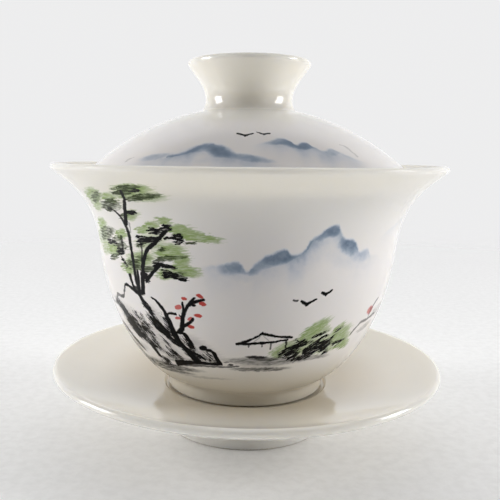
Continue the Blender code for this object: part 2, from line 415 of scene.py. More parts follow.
BUSH_WASH = dabs(
    ((15, 28.6), (30, 30.8), 4, 0.7, 0.7), ((27, 29.4), (42, 31.2), 4.4, 0.6, 0.7),
    ((21, 32.4), (31.5, 36.2), 2.9, 0.9, 0.7), ((20.5, 31.8), (29, 34.4), 2.6, 0.8, 0.8),
    ((24, 33), (33, 33.6), 2.2, 0.7, 0.8), ((34, 30.6), (44, 33), 3.1, 0.8, 0.8),
    ((35.5, 32.6), (40, 34.4), 2, 0.8, 0.8), ((38, 29.6), (47.5, 28.2), 2.6, 0.9, 0.7),
    ((36, 29.8), (46, 30.8), 2.4, 0.7, 0.8), ((10, 27.6), (17, 30), 2.6, 0.8, 0.8),
    ((12, 29.6), (20, 31.4), 2, 0.6, 0.8), ((30, 27.8), (40, 28.8), 2.2, 0.6, 0.8),
)

TREE_LEAVES = dabs(
    ((-38.5, 65.2), (-28, 66.1), 1.3, 0.85), ((-40.5, 64.4), (-32.5, 64.6), 1.1, 0.8),
    ((-33.5, 63.5), (-23.5, 64.4), 1.3, 0.75, 0.5), ((-37.5, 63.1), (-29, 63.5), 1, 0.7, 0.5),
    ((-57.5, 61.7), (-49.5, 63.7), 1.8, 0.55, 0.7), ((-53, 63.2), (-47.5, 64.2), 1.3, 0.6, 0.6),
    ((-52.5, 60.6), (-43.5, 61.8), 2.1, 0.75, 0.6), ((-47, 62), (-41.5, 62.6), 1.6, 0.8, 0.5),
    ((-51.5, 60), (-46, 60.4), 1.2, 0.7, 0.5), ((-44, 60.4), (-40, 62.2), 1.3, 0.5, 0.7),
    ((-43.5, 58.4), (-38.5, 59.8), 1.1, 0.6, 0.6), ((-66, 52), (-57, 54.4), 2, 0.55, 0.7),
    ((-64, 54), (-53, 55.5), 1.7, 0.55, 0.7), ((-61, 52.8), (-53, 54), 1.6, 0.6, 0.6),
    ((-56, 53.2), (-50.5, 55.7), 1.4, 0.55, 0.6), ((-57, 47.9), (-49.5, 49.7), 1.4, 0.7, 0.5),
    ((-53, 52.8), (-46, 53.7), 1.3, 0.6, 0.6), ((-46.5, 51.1), (-43, 51.9), 0.9, 0.6, 0.5),
    ((-51, 51.5), (-44.5, 52.6), 1.5, 0.6, 0.6), ((-30.5, 49.6), (-24, 50.4), 1.1, 0.7, 0.5),
    ((-28, 50.4), (-18.5, 50.9), 0.9, 0.6, 0.5), ((-38, 46.9), (-31, 47.7), 1.5, 0.85, 0.5),
    ((-45, 47.7), (-38, 48.8), 1.6, 0.75, 0.6), ((-43, 46.7), (-37, 47.6), 1.3, 0.75, 0.5),
    ((-40, 49.4), (-33, 49.9), 1.4, 0.5, 0.7), ((-38.6, 52.4), (-34.6, 53.4), 1.5, 0.8, 0.5),
    ((-19, 53.9), (-14.5, 54.4), 0.7, 0.7, 0.5), ((-30, 52), (-26.3, 52.5), 1, 0.8, 0.5),
    ((-26, 46), (-20, 47.2), 1.5, 0.6, 0.6),
)

TREE_DARKS = [
    dab((-39.4, 59.8), (-35, 60.2), 1.1), dab((-33, 65), (-28.6, 65.4), 0.9, 0.8),
    dab((-58, 52.1), (-50, 52), 1.5, 0.85), dab((-51.5, 50.1), (-46, 50.5), 1.8, 0.9),
    line([(-32.2, 56.2), (-30, 56.3), (-27.6, 56.1)], (1.4, 1.1)),
    dab((-29.5, 55.8), (-24.5, 56.9), 1.5), dab((-26.8, 57), (-23.4, 57.4), 1.7),
    line([(-38.2, 54), (-35, 54), (-31, 54.2), (-28.5, 54.5)], (1.7, 1)),
    dab((-38.4, 53.2), (-34.6, 53.4), 1.3, 0.9), dab((-23.6, 54.8), (-19.6, 55.5), 1.8),
    dab((-23.2, 53.9), (-19.8, 54.4), 1.1),
    line([(-32.2, 48.4), (-30, 48.8), (-27.5, 48.4), (-23.4, 48.3)], (1.3, 0.7)),
    line([(-28.3, 46.6), (-26, 46.6), (-23, 46.2), (-19.4, 45.8)], (2, 0.8)),
    dab((-38.4, 46.8), (-34.5, 45), 1.3, 0.95), dab((-37.4, 45.4), (-34.6, 44), 1.1, 0.95),
    dab((-48.6, 49), (-45, 46.6), 1, 0.95),
]

BUSH_DARKS = [
    dab((13.4, 28.2), (18.4, 29.2), 2.5, 1, 0.25), dab((16.6, 28), (22, 28.6), 2.3, 1, 0.3),
    dab((15.6, 29.4), (21.2, 30), 1.5, 1, 0.3), dab((18.4, 30.2), (24.6, 30.9), 1.6, 1, 0.3),
    line([(19, 32), (19.3, 31.2), (19.6, 30.6)], (0.6, 0.6)),
    dab((19.4, 30.9), (23.6, 31.5), 0.9, 0.9, 0.4), dab((23, 27.9), (30.2, 28.9), 2.9, 1, 0.25),
    dab((24.6, 29.4), (32, 30.2), 1.8, 1, 0.3), dab((29.6, 28.6), (36, 30), 2.1, 1, 0.4),
    dab((32, 28.4), (36.4, 27), 1.6, 0.75, 0.6),
    line([(26.8, 30.2), (29, 31), (31, 31.9), (33, 32)], (0.5, 0.7), 0.9),
    line([(29.6, 30.2), (32.4, 30.5), (35, 31), (37, 31.9)], (0.9, 0.5), 0.9),
    dab((26.2, 32.2), (29.2, 32.7), 0.8, 0.9, 0.5),
    dab((28.6, 32.8), (32.4, 33.2), 0.7, 0.75, 0.6), dab((24.8, 31.2), (27, 30.8), 0.8, 0.7, 0.6),
    dab((36.8, 32.8), (39.4, 33.8), 0.7, 0.75, 0.6),
    dab((35.4, 29.3), (43.8, 30.1), 0.9, 0.85, 0.5), dab((37.6, 28.9), (42, 29.3), 0.6, 0.6, 0.6),
    dab((16, 27), (27.4, 26.7), 1, 1, 0.4), dab((20.4, 26.1), (26, 26.9), 1.1, 0.9, 0.5),
]

TRUNKS = [
    line([(-40.5, 40.8), (-41.5, 46), (-42, 50), (-42.1, 53), (-42, 55.5)], (0.8, 0.9)),
    line([(-42, 55.3), (-42.8, 57.2), (-44, 59), (-46, 60.2)], (0.8, 0.6), 0.95),
    line([(-46, 60.1), (-47.6, 60.5), (-49.4, 60.4)], (0.5, 0.3), 0.9),
    line([(-42.2, 57), (-40.6, 59.5), (-39, 61.5), (-37.5, 63), (-36.3, 65)], (1.1, 0.5)),
    line([(-38.6, 41), (-37.6, 45), (-37, 48), (-35.5, 50.5), (-33.5, 52.4)], (0.9, 0.9)),
    line([(-34, 52.1), (-31, 53.3), (-29, 54.5), (-25.4, 56.4)], (0.9, 0.7)),
    line([(-26.8, 54.7), (-25, 54.9), (-22.6, 55)], (0.35, 0.45)),
    line([(-36.5, 44.4), (-34, 45.8), (-31, 47.7), (-29.4, 48.4)], (0.9, 0.7)),
    line([(-44.8, 45.2), (-44.2, 43.6), (-43.4, 41.9)], (1.1, 0.7)),
    line([(-41.9, 46.2), (-41.6, 43.6), (-40.8, 41.3)], (0.45, 0.6)),
    line([(-40, 46.6), (-40.1, 44), (-40.6, 41.6)], (0.6, 0.9)),
    line([(-38.1, 46.4), (-38.4, 44), (-39.1, 41)], (0.5, 0.9)),
    line([(-36.8, 53.6), (-36.9, 51), (-37.4, 48)], (0.25, 0.5), 0.8),
    line([(-46.7, 54.2), (-46.9, 52), (-47.4, 49.8)], (0.9, 0.6), 0.8),
    line([(-40.4, 57.5), (-40.9, 55.4)], (0.3, 0.25), 0.5),
    dab((-43.8, 42.4), (-38.4, 40.8), 1.5, 0.95),
]

ROCK_WASH = dabs(
    ((-58, 34.6), (-40, 29.6), 6.6, 0.42, 1.2), ((-44, 31.6), (-27, 25.6), 6, 0.36, 1.2),
    ((-36, 37.6), (-29, 31), 3, 0.3, 0.9), ((-26, 31.6), (-11, 26.2), 4.4, 0.36, 1.2),
    ((-62, 37.2), (-54, 34.6), 3, 0.65, 0.8), ((-78, 27.8), (-58, 29.8), 2.8, 0.5, 0.8),
    ((-76, 24.2), (-50, 26), 3, 0.5, 0.8), ((-78, 19.4), (-44, 22.2), 3, 0.8, 0.8),
    ((-64, 21.2), (-22, 22.4), 1.8, 1, 0.6), ((-52, 20.2), (-26, 21), 1, 0.9, 0.7),
    ((-34, 20), (-8, 20.7), 0.7, 0.3, 0.8), ((-40, 24.4), (-14, 25.4), 1.4, 0.6, 0.7),
)

SHORE_WASH = dabs(
    ((-6, 26.5), (24, 26.2), 2, 0.8, 0.8), ((-4, 24), (18, 24), 1.1, 0.95, 0.8),
    ((-2, 25.2), (16, 25.3), 1.6, 0.3, 0.9), ((12, 27), (36, 26.2), 1.4, 0.75, 0.7),
    ((52, 31.1), (62, 32.6), 1.6, 0.45, 0.8), ((59, 34.2), (69, 36.4), 2.4, 0.45, 0.8),
    ((70, 34), (82, 31.8), 3.2, 0.4, 0.8),
)

ROCK_GRAIN = dabs(
    ((-57.5, 36), (-53, 33.8), 3, 0.92, 0.5), ((-56, 33.9), (-48.5, 28.7), 3.7, 1.2, 0.6),
    ((-58.6, 37.2), (-50, 31.6), 1.8, 1.08, 0.6), ((-66, 30.8), (-52, 24.6), 1.8, 0.92, 0.8),
    ((-72, 28.4), (-56, 22.6), 1.7, 0.92, 0.8), ((-53, 33.8), (-46.5, 32.5), 2.3, 0.86, 0.5),
    ((-51, 29.6), (-43, 29), 2.5, 0.92, 0.5), ((-48, 35.3), (-43.4, 34.4), 1.4, 0.76, 0.6),
    ((-46, 34.2), (-41, 35), 1.1, 0.76, 0.6), ((-45.6, 32.3), (-38.6, 33.1), 1.5, 0.97, 0.5),
    ((-49, 31.6), (-42, 30.9), 2.3, 0.76, 0.6), ((-42.5, 31.6), (-37.8, 30.2), 1.4, 0.92, 0.6),
    ((-41.6, 29.7), (-38, 28.3), 1.6, 0.92, 0.5), ((-45.2, 28.2), (-40, 27), 2.2, 1.19, 0.4),
    ((-40.6, 28), (-37.4, 27), 1.4, 0.92, 0.5), ((-36.6, 26.6), (-32.6, 25.5), 1.1, 0.76, 0.6),
    ((-34.6, 30.4), (-31.4, 28.4), 1.1, 0.81, 0.6), ((-33.8, 27.7), (-30.6, 26.7), 1.5, 0.92, 0.6),
    ((-31.4, 26.7), (-27, 25.5), 1.3, 0.76, 0.6), ((-37, 25.9), (-27, 25.1), 1.1, 0.81, 0.6),
    ((-40.4, 24.2), (-35.8, 23.2), 2, 1.03, 0.5), ((-42.2, 22.4), (-35.6, 22.9), 1.3, 1.08, 0.5),
    ((-38.8, 35.8), (-31.4, 31.7), 2.9, 1.2, 0.5), ((-36, 34.4), (-29.8, 31.2), 2.2, 1.19, 0.5),
    ((-32.4, 31.5), (-26, 28.7), 1.4, 1.19, 0.5), ((-40, 39), (-35.4, 36.2), 2.1, 1.08, 0.4),
    ((-31, 36.6), (-28.2, 31), 1.5, 0.76, 0.6), ((-24.8, 28.9), (-19.6, 25.2), 3, 1.19, 0.4),
    ((-24, 31.4), (-19.8, 28.4), 2.3, 0.81, 0.6), ((-20.6, 27.2), (-15, 26.2), 1.5, 0.97, 0.5),
    ((-17.6, 26.5), (-11, 25.7), 1.1, 0.92, 0.5), ((-15.6, 28), (-12.8, 26.8), 1, 0.76, 0.6),
    ((-62, 36.6), (-54, 35.2), 1.8, 0.86, 0.6),
)

ROCK_LINES = [
    line([(-76, 35.2), (-70, 36.4), (-65, 36), (-61, 36.4)], (0.5, 0.8), 0.6, 0.3),
    line([(-62, 36.2), (-60.3, 37.2), (-59, 38.3), (-57, 38.9), (-54.5, 38.8)], (0.8, 0.7), 0.75),
    line([(-54.8, 38.7), (-52.3, 39.1), (-50.6, 40.6), (-49.2, 42)], (0.6, 0.7), 0.85),
    line([(-49.6, 41.8), (-48.2, 42.4), (-45, 41.8), (-41, 40.7)], (0.5, 0.9)),
    line([(-41.2, 40.8), (-39.8, 39.2), (-38.2, 37.6), (-36.2, 36.4)], (1.2, 1)),
    line([(-34.8, 40.5), (-32.6, 39.6), (-30.8, 38.2), (-29.6, 37)], (0.5, 0.9)),
    line([(-29.8, 37.2), (-29, 35.4), (-28.2, 33.4), (-27.2, 31), (-25.4, 28.8)], (1.1, 2)),
    line([(-29.4, 36.8), (-27.4, 37.4), (-25.3, 37.3)], (0.5, 0.6)),
    line([(-24.8, 33), (-23.2, 32.4), (-21.8, 30.8), (-20.8, 28.9)], (1, 1.1)),
    line([(-25.6, 29.6), (-24, 28.2), (-22, 26.2), (-20.2, 25.2)], (1.2, 1.6)),
    dab((-18.2, 29.1), (-14.8, 29.6), 1.4),
    line([(-15.4, 28.9), (-13.4, 28.7), (-12.2, 28)], (0.6, 0.9)),
    line([(-12.5, 28.4), (-11.6, 26.9), (-10.4, 25.2)], (1, 1.2)),
    line([(-43.9, 27.6), (-42.6, 26.2), (-41.2, 24.4)], (1.3, 1.5)),
    line([(-32.4, 23.6), (-28, 24.3), (-20, 24.9), (-9.6, 25.1)], (1.7, 0.4)),
    line([(-30, 23.4), (-20, 24.1), (-10, 24.4), (-2.6, 24.8)], (0.5, 0.2), 0.8),
    dab((-9, 25.9), (-6.6, 25.9), 0.5, 0.6), dab((-7.2, 25.1), (-4.8, 25.2), 0.6, 0.9),
]

PLUM_BRANCHES = [
    line([(-25.6, 32.5), (-24.4, 33.5), (-23.3, 35), (-22.8, 37)], (1.5, 0.9)),
    line([(-23, 36.4), (-21.6, 38.2), (-20, 39.8), (-17.4, 41.8)], (0.9, 0.5)),
    line([(-19.4, 40.1), (-16.6, 41), (-13.8, 41.5)], (0.9, 0.45)),
    line([(-22.6, 36.8), (-22, 39), (-22.2, 40.5)], (0.6, 0.4)),
    line([(-24, 37.1), (-23.4, 36.9), (-22.6, 37.3)], (0.5, 0.4)),
    line([(-23.6, 34.2), (-21, 35.3), (-18.6, 36.5)], (0.7, 0.6)),
    dab((-18.8, 39.9), (-17, 39.9), 0.6),
]

PLUM_FLOWERS = dabs(
    ((-22.2, 41.4), (-20.2, 41.3), 0.7), ((-16.8, 42.6), (-14.2, 41.9), 0.8),
    ((-16, 40.7), (-13.4, 40.3), 0.9), ((-18.8, 39.9), (-17.4, 40.2), 0.6, 0.6),
    ((-25.2, 38.9), (-22.6, 39.4), 1.1, 0.9), ((-18.4, 37.6), (-15.2, 37.5), 0.8),
    ((-26, 36.4), (-23.6, 36.4), 0.7, 0.9), ((-21, 36.3), (-18.8, 36.8), 0.9, 0.9),
    ((-21.6, 34.8), (-18.6, 34.4), 0.8), ((53.4, 36.2), (57.6, 36.2), 2.1, 0.8, 0.6),
)

BIRDS = [
    line([(18.6, 41.3), (20.8, 40.5)], (0.45, 0.7)),
    line([(20.6, 40.4), (22.4, 41), (24.2, 41.6)], (0.7, 0.35)),
    line([(15.8, 41.6), (17.4, 41.5)], (0.3, 0.35), 0.9),
    line([(26, 43), (27.7, 42.6)], (0.4, 0.65)),
    line([(27.5, 42.5), (28.8, 42.9), (30.1, 43.5)], (0.65, 0.4)),
]

PAVILION = [
    line([(-3.5, 31), (0, 31.7), (3, 32.6), (6.2, 33.9)], (0.5, 0.35)),
    line([(6, 33.8), (10, 33.2), (14, 32.8), (17.6, 32.6)], (0.5, 0.45)),
    line([(-3, 31.1), (3, 31.2), (7, 31.4), (11, 31.6), (15.8, 32.1)], (0.6, 0.4)),
    dab((-2.4, 31.2), (0.6, 31.3), 0.7, 0.9), line([(1.4, 31.2), (1.4, 30.2)], (0.3, 0.2), 0.8),
    line([(6.2, 31.4), (6.3, 30.4)], (0.25, 0.2), 0.7),
    line([(9.6, 31.6), (9.6, 29.7)], (0.3, 0.3), 0.8),
    line([(15.2, 32.1), (15.6, 30)], (0.3, 0.4), 0.9),
    line([(6, 33.6), (4.6, 32.6), (3, 31.6)], (0.1, 0.1), 0.4),
    line([(6, 33.6), (7.6, 32.6), (9, 31.8)], (0.1, 0.1), 0.4),
    dab((0.4, 27.6), (8.6, 27.5), 0.8, 0.95, 0.6), dab((4.4, 26.9), (13, 26.8), 0.7, 0.6, 0.8),
]

FAR_BRANCH = [
    line([(46.4, 31), (48.6, 32.4), (51, 33.7)], (0.5, 0.5), 0.7, 0.2),
    line([(50.6, 33.6), (56, 33.8), (62.4, 34.6)], (0.6, 0.5), 0.7, 0.2),
    line([(55.8, 36.8), (56.2, 35.2), (56, 33.8)], (0.4, 0.5), 0.6, 0.2),
    line([(57, 36.8), (58.6, 37.9), (60.6, 38.8)], (0.8, 0.3), 0.6, 0.2),
    line([(72.6, 34.8), (77, 33.2), (81.6, 30.6), (84.4, 29)], (0.6, 0.9), 0.7, 0.3),
]

RIDGE = [
    (-16, 48.9), (-11, 49.5), (-6, 50.1), (-3, 50.6), (-1.2, 49.6), (0.2, 48.5), (2, 49.7),
    (5, 51.4), (8, 52.4), (12, 53.3), (14.4, 52.1), (16.4, 52.2), (18.4, 53.2), (19.8, 55),
    (22.4, 56.3), (26, 58.2), (28, 58.4), (30, 57), (32.6, 55.2), (36, 54.7), (38.6, 53.2),
    (40, 51.9), (44, 52.4), (46, 50.7), (50, 50.6), (53.6, 49.2),
]
RIDGE_INK = [
    (-18, 0), (-8, 0.65), (-3, 0.6), (0.2, 0.3), (3.4, 0.7), (14, 0.95), (30, 0.85), (34, 0.75),
    (44, 0.45), (57, 0),
]
RIDGE_CRESTS = [
    dab((-8, 48.8), (-1.6, 50), 2.6, 0.75, 1.7), dab((-3, 49), (2.4, 48.2), 1.5, 0.8, 1.7),
    dab((1, 49.4), (10, 51.2), 2.6, 0.7, 1.7), dab((7, 51.2), (15.8, 52.6), 3.4, 1, 1.6),
    line([(13.6, 51.6), (17, 52.1), (19, 53.2), (20.6, 55.2)], (1, 0.8), 0.8, 0.6),
    dab((20.6, 55), (26.4, 57.8), 2.4, 0.8, 1.7), dab((24, 57), (31, 57.6), 2.8, 0.95, 1.7),
    dab((31.6, 55), (38, 53), 3.6, 0.95, 1.7), dab((33, 54.6), (36.4, 53.6), 1.6, 1, 1.4),
    dab((36, 53.4), (42, 50.4), 3, 0.6, 1.7), dab((41, 51.6), (46, 50.8), 2.4, 0.5, 1.7),
    dab((-12, 48.6), (4, 47.4), 3.2, 0.4, 1.8), dab((26, 53), (46, 49.4), 5.4, 0.32, 1.8),
]
FAR_RANGE = [
    (50, 54.6), (56, 56.4), (60, 57.2), (65, 58.6), (70, 57), (76, 55.2), (84, 57.6), (92, 54.4),
]
FAR_RANGE_INK = [(48, 0), (56, 0.35), (66, 0.4), (73, 0.1), (80, 0.3), (88, 0)]

# On the lid a point is (turn, way up from the lid's edge along the dome).
LID_LEFT = [
    (-39, 6.4), (-36, 7.4), (-33.6, 8.3), (-31, 8.5), (-29, 7.8), (-26, 8.5), (-22, 9.4),
    (-19, 11), (-16, 13.2), (-13.6, 13.2), (-11, 11.8), (-8.6, 10.4), (-5, 8.8), (0, 8),
    (5, 6.8), (12, 6.2),
]
LID_LEFT_INK = [(-42, 0), (-34, 0.75), (-26, 0.8), (-16, 1), (-6, 0.9), (4, 0.6), (14, 0)]
LID_RIGHT = [
    (2, 12.8), (6, 13.8), (9, 14.5), (13, 15.6), (16, 14.6), (18.4, 12.9), (20, 13.6),
    (22, 13.9), (25, 12), (28, 10.7), (31.4, 11.7), (34.6, 10.4), (38.6, 8.4), (43, 7),
]
LID_RIGHT_INK = [(0, 0), (7, 0.6), (14, 0.95), (22, 1), (30, 0.85), (36, 0.7), (45, 0)]
LID_CRESTS = [
    dab((-38, 7), (-29, 8.3), 1.9, 0.69, 1.7),
    line([(-28, 7.8), (-23, 8.9), (-19.4, 10.4), (-15.8, 12.8)], (0.8, 1.4), 0.85, 0.6),
    dab((-19.4, 10.6), (-11.6, 12.6), 2.4, 0.79, 1.7),
    dab((-14, 11.8), (-6.6, 8.8), 3, 0.93, 1.6), dab((-10, 10.6), (-8, 9.6), 1.2, 0.93, 1.2),
    dab((-6.5, 8.6), (6, 7), 2, 0.74, 1.7), dab((6.6, 13.6), (16, 14.8), 2.4, 0.79, 1.7),
    dab((13.4, 14.4), (20.6, 12), 2.6, 0.88, 1.6), dab((19, 12.4), (25.4, 13), 2.4, 0.93, 1.6),
    line([(22.2, 13.3), (25, 11.8), (28.6, 10.4)], (1.1, 0.7), 0.85, 0.6),
    dab((28, 10), (35.6, 10.6), 2, 0.74, 1.7), dab((-24, 8.6), (-8, 8.4), 4.6, 0.37, 1.8),
    dab((12, 12), (30, 10.4), 4.4, 0.42, 1.8),
]
LID_BIRDS = [
    line([(-4.9, 17.3), (-3.2, 16.9), (-1.4, 16.4)], (0.4, 0.75)),
    line([(-1.6, 16.3), (0.2, 16.8), (2.1, 17.3)], (0.75, 0.35)),
    line([(3.6, 18), (5, 17.5), (6.4, 17)], (0.3, 0.6)),
    line([(6.3, 17), (7.8, 17.3), (9.4, 17.5)], (0.6, 0.35)),
]
LID_TWIGS = [
    line([(-45.6, 6), (-45, 7), (-43.6, 7.6)], (0.5, 0.3), 0.3, 0.3),
    line([(38.4, 13), (40.2, 12.6), (40.9, 10.8), (41.6, 8.6)], (0.5, 0.5), 0.3, 0.3),
]


def comes_inside(stroke, sector):
    """Whether a stroke reaches into a sector (from, to), in degrees."""
    turns = [turn for turn, _ in stroke.get("points") or stroke["dab"]]
    width = stroke["width"] if "dab" in stroke else max(stroke["width"])
    reach = max(width, DRAGGED) / MM_PER_DEGREE
    return max(turns) + reach > sector[0] and min(turns) - reach < sector[1]


class Canvas:
    """A surface to paint on: its flat coordinates, and the colour that it has so far."""

    def __init__(self, nodes, turn, height, per_degree, sector, ground):
        self.nodes = nodes
        self.sector = sector
        self.per_degree = per_degree
        self.colour = ground
        self.object = nodes.add("ShaderNodeTexCoord").outputs["Object"]
        across = nodes.math("MULTIPLY", turn, math.degrees(1) * per_degree)
        self.paper = nodes.join(across, height, 1.0)
        wobble = nodes.noise(self.object, HAND_TREMOR, 3.0, 0.6)["Color"]
        wobble = nodes.vector("SUBTRACT", wobble, (0.5, 0.5, 0.5))
        wobble = nodes.vector("MULTIPLY", wobble, (UNSTEADY, UNSTEADY, 0.0))
        self.brush = nodes.vector("ADD", self.paper, wobble)
        self.comb()

    def comb(self, hairs=None, slope=0, reach=0):
        """Drags the strokes that follow along a slope in degrees, hair by hair, this far in mm."""
        nodes = self.nodes
        self.place = self.brush
        if hairs is not None:
            slope = math.radians(slope)
            drag = nodes.math("MULTIPLY_ADD", hairs, reach, -reach / 2)
            drag = nodes.scaled((math.cos(slope), math.sin(slope), 0), drag)
            self.place = nodes.vector("ADD", self.brush, drag)
        self.across, self.height, _ = nodes.split(self.place)

    def hairs(self, slope, length, width):
        """Bristle marks from 0 to 1 along a slope in degrees, this long and this wide in mm."""
        nodes = self.nodes
        drawn = nodes.drawn_out(self.paper, math.radians(slope), (length, width, 1))
        grain = nodes.noise(drawn, 1.0, 3.0, 0.65)[0]
        return nodes.between(grain, 0.3, 0.7)

    def leaf(self, made, below):
        """The paint once this ellipse lies over what is below.  The place's Z is 1, so each
        of its two axes takes one product."""
        nodes = self.nodes
        (turn0, height0), (turn1, height1) = made["dab"]
        start = Vector((turn0 * self.per_degree, height0))
        end = Vector((turn1 * self.per_degree, height1))
        middle = (start + end) / 2
        along = (end - start).normalized()
        aside = Vector((-along.y, along.x))
        square = 0.0
        for axis, half in ((along, (end - start).length / 2), (aside, made["width"] / 2)):
            affine = (axis.x / half, axis.y / half, -axis.dot(middle) / half)
            far = nodes.vector("DOT_PRODUCT", self.place, affine)
            square = nodes.math("MULTIPLY_ADD", far, far, square)
        outer, inner = (1 + made["soft"] / 2) ** 2, (1 - made["soft"] / 2) ** 2
        return nodes.between(square, outer, inner, below, made["ink"])

    def sweep(self, made, below):
        """The same for a line, drawn as its height for each place across, or the reverse."""
        nodes = self.nodes
        points = [(turn * self.per_degree, height) for turn, height in made["points"]]
        run = abs(points[-1][0] - points[0][0])
        rise = abs(points[-1][1] - points[0][1])
        along, aside = (0, 1) if run >= rise else (1, 0)
        first, last = made["width"]
        middle, width = [], []
        for index, point in enumerate(points):
            before = Vector(points[max(index - 1, 0)])
            after = Vector(points[min(index + 1, len(points) - 1)])
            slant = (after - before).length / max(abs((after - before)[along]), 0.01)
            full = first + (last - first) * index / (len(points) - 1)
            middle.append((point[along], point[aside]))
            width.append((point[along], full / 2 * min(slant, MOST_SLANT)))
        middle.sort()
        width.sort()
        past, gone = LINE_END
        width = [(width[0][0] - past, gone)] + width + [(width[-1][0] + past, gone)]
        axes = (self.across, self.height)
        centre = nodes.curve(axes[along], middle)
        apart = nodes.math("ABSOLUTE", nodes.math("SUBTRACT", axes[aside], centre))
        half = nodes.curve(axes[along], width)
        outside = nodes.math("SUBTRACT", apart, half)
        soft = made["soft"]
        return nodes.between(outside, BLEED + soft, BLEED - soft, below, made["ink"])

    def strokes(self, strokes):
        """How much paint the strokes leave, from 0 to 1, or None where none comes inside."""
        inside = [made for made in strokes if comes_inside(made, self.sector)]
        total = None
        for made in sorted(inside, key=lambda made: made["ink"]):
            draw = self.leaf if "dab" in made else self.sweep
            total = draw(made, total or 0.0)
        return total

    def range(self, ridge, ink, depth, crests):
        """Hills in wet paint: dark under the ridge and at the crests, and fading out below."""
        nodes = self.nodes
        top = nodes.curve(self.across, [(turn * self.per_degree, z) for turn, z in ridge])
        below = nodes.math("SUBTRACT", top, self.height)
        edge = nodes.between(below, *HILL_EDGE)
        fade = nodes.curve(below, [(depth * share, left) for share, left in HILL_FADE])
        strength = nodes.curve(self.across, [(turn * self.per_degree, made) for turn, made in ink])
        wash = nodes.math("MULTIPLY", fade, strength)
        dark = self.strokes(crests)
        if dark is not None:
            wash = nodes.math("MAXIMUM", wash, nodes.math("MULTIPLY", dark, CREST_INK))
        return nodes.math("MULTIPLY", wash, edge)

    def dry(self, amount, hairs, blur):
        """The same paint from a drier brush: ragged at its edges, and with gaps."""
        nodes = self.nodes
        patchy = nodes.math("MULTIPLY", amount, nodes.between(hairs, 0, 1, 0.5, 1.5))
        return nodes.between(patchy, 0.5 - blur, 0.5 + blur)

    def paint(self, colour, amount, density=1.0):
        """Lays this colour over the canvas, where there is an amount of it."""
        if amount is not None:
            shown = amount if density == 1.0 else self.nodes.math("MULTIPLY", amount, density)
            self.colour = self.nodes.mix(shown, self.colour, colour)

    def hills(self, amount):
        """Blue paint that is clear and pale where it is thin, and dull where it is thick."""
        self.paint(BLUE_PALE, self.nodes.between(amount, *THIN), 0.75)
        self.paint(BLUE, self.nodes.between(amount, *THICK))


def landscape(canvas):
    """The bowl's painting, from the palest layer to the darkest."""
    nodes = canvas.nodes
    level_hairs = canvas.hairs(LEVEL, 2.6, 0.4)
    rock_hairs = canvas.hairs(FALLING, 2.0, 0.3)
    bush_hairs = canvas.hairs(LEANING, 2.2, 0.32)
    mottle = nodes.noise(canvas.object, BLUE_GRAIN, 4.0, 0.6)[0]
    mottle = nodes.between(mottle, 0.35, 0.65, 0.8, 1.0)
    hills = canvas.range(RIDGE, RIDGE_INK, HILL_DEPTH, RIDGE_CRESTS)
    canvas.hills(nodes.math("MULTIPLY", hills, mottle))
    canvas.hills(canvas.range(FAR_RANGE, FAR_RANGE_INK, FAR_HILL_DEPTH, []))
    for strokes, hairs, slope in (
        (TREE_WASH, level_hairs, LEVEL),
        (BUSH_WASH, bush_hairs, LEANING),
    ):
        canvas.comb(hairs, slope, 2.4)
        green = canvas.strokes(strokes)
        if green is not None:
            canvas.paint(LEAF, green, nodes.between(hairs, 0, 1, 0.6, 1.0))
            canvas.paint(LEAF_DEEP, canvas.dry(green, hairs, 0.5), 0.32)
    canvas.comb(level_hairs, LEVEL, 1.6)
    grey = canvas.strokes(ROCK_WASH + SHORE_WASH)
    canvas.paint(GREY, grey, nodes.between(level_hairs, 0, 1, 0.55, 1.0))
    canvas.comb(level_hairs, LEVEL, 2.6)
    leaves = canvas.strokes(TREE_LEAVES)
    if leaves is not None:
        canvas.paint(LEAF_DEEP, leaves, 0.75)
        canvas.paint(PINE, canvas.dry(leaves, level_hairs, 0.35), 0.9)
    for strokes, hairs, slope, reach, blur in (
        (ROCK_GRAIN, rock_hairs, FALLING, 3.0, 0.18),
        (TREE_DARKS, level_hairs, LEVEL, 1.2, 0.26),
        (BUSH_DARKS, bush_hairs, LEANING, 2.2, 0.16),
    ):
        canvas.comb(hairs, slope, reach)
        amount = canvas.strokes(strokes)
        if amount is not None:
            canvas.paint(INK, canvas.dry(amount, hairs, blur))
    canvas.comb()
    canvas.paint(RED, canvas.strokes(PLUM_FLOWERS))
    black = TRUNKS + ROCK_LINES + PLUM_BRANCHES + BIRDS + PAVILION + FAR_BRANCH
    canvas.paint(INK, canvas.strokes(black))


def lid_landscape(canvas):
    """The lid's painting: two hills in blue, then birds and twigs in ink."""
    nodes = canvas.nodes
    cloud = nodes.noise(canvas.object, BLUE_CLOUDS, 2.0, 0.5)[0]
    cloud = nodes.between(cloud, 0.3, 0.7, 0.72, 1.0)
    left = canvas.range(LID_LEFT, LID_LEFT_INK, LID_HILL_DEPTH, LID_CRESTS)
    right = canvas.range(LID_RIGHT, LID_RIGHT_INK, LID_HILL_DEPTH, LID_CRESTS)
    both = nodes.math("MAXIMUM", left, right)
    canvas.hills(nodes.math("MULTIPLY", both, cloud))
    canvas.paint(INK, canvas.strokes(LID_BIRDS + LID_TWIGS))


# --- porcelain ---
IVORY = (0.82, 0.795, 0.745, 1)
IVORY_WARM = (0.77, 0.725, 0.635, 1)
PAPER = (0.83, 0.79, 0.765, 1)  # the glaze is whiter under the painting,
POOLED_AND_SHADED = (0.64, 0.575, 0.455, 1)  # and warmer and darker where it has run thick; also painted shade low on the bowl and round the saucer's well
BISCUIT = (0.62, 0.56, 0.47, 1)

DRIFTS = 28  # noise scales, per metre: drifts of warmer ivory,
SMEARS = 120  # unevenness of the gloss,
RIPPLES = 75  # waves in the glaze,
CRUMBS = 2500  # and the edge of the bare biscuit

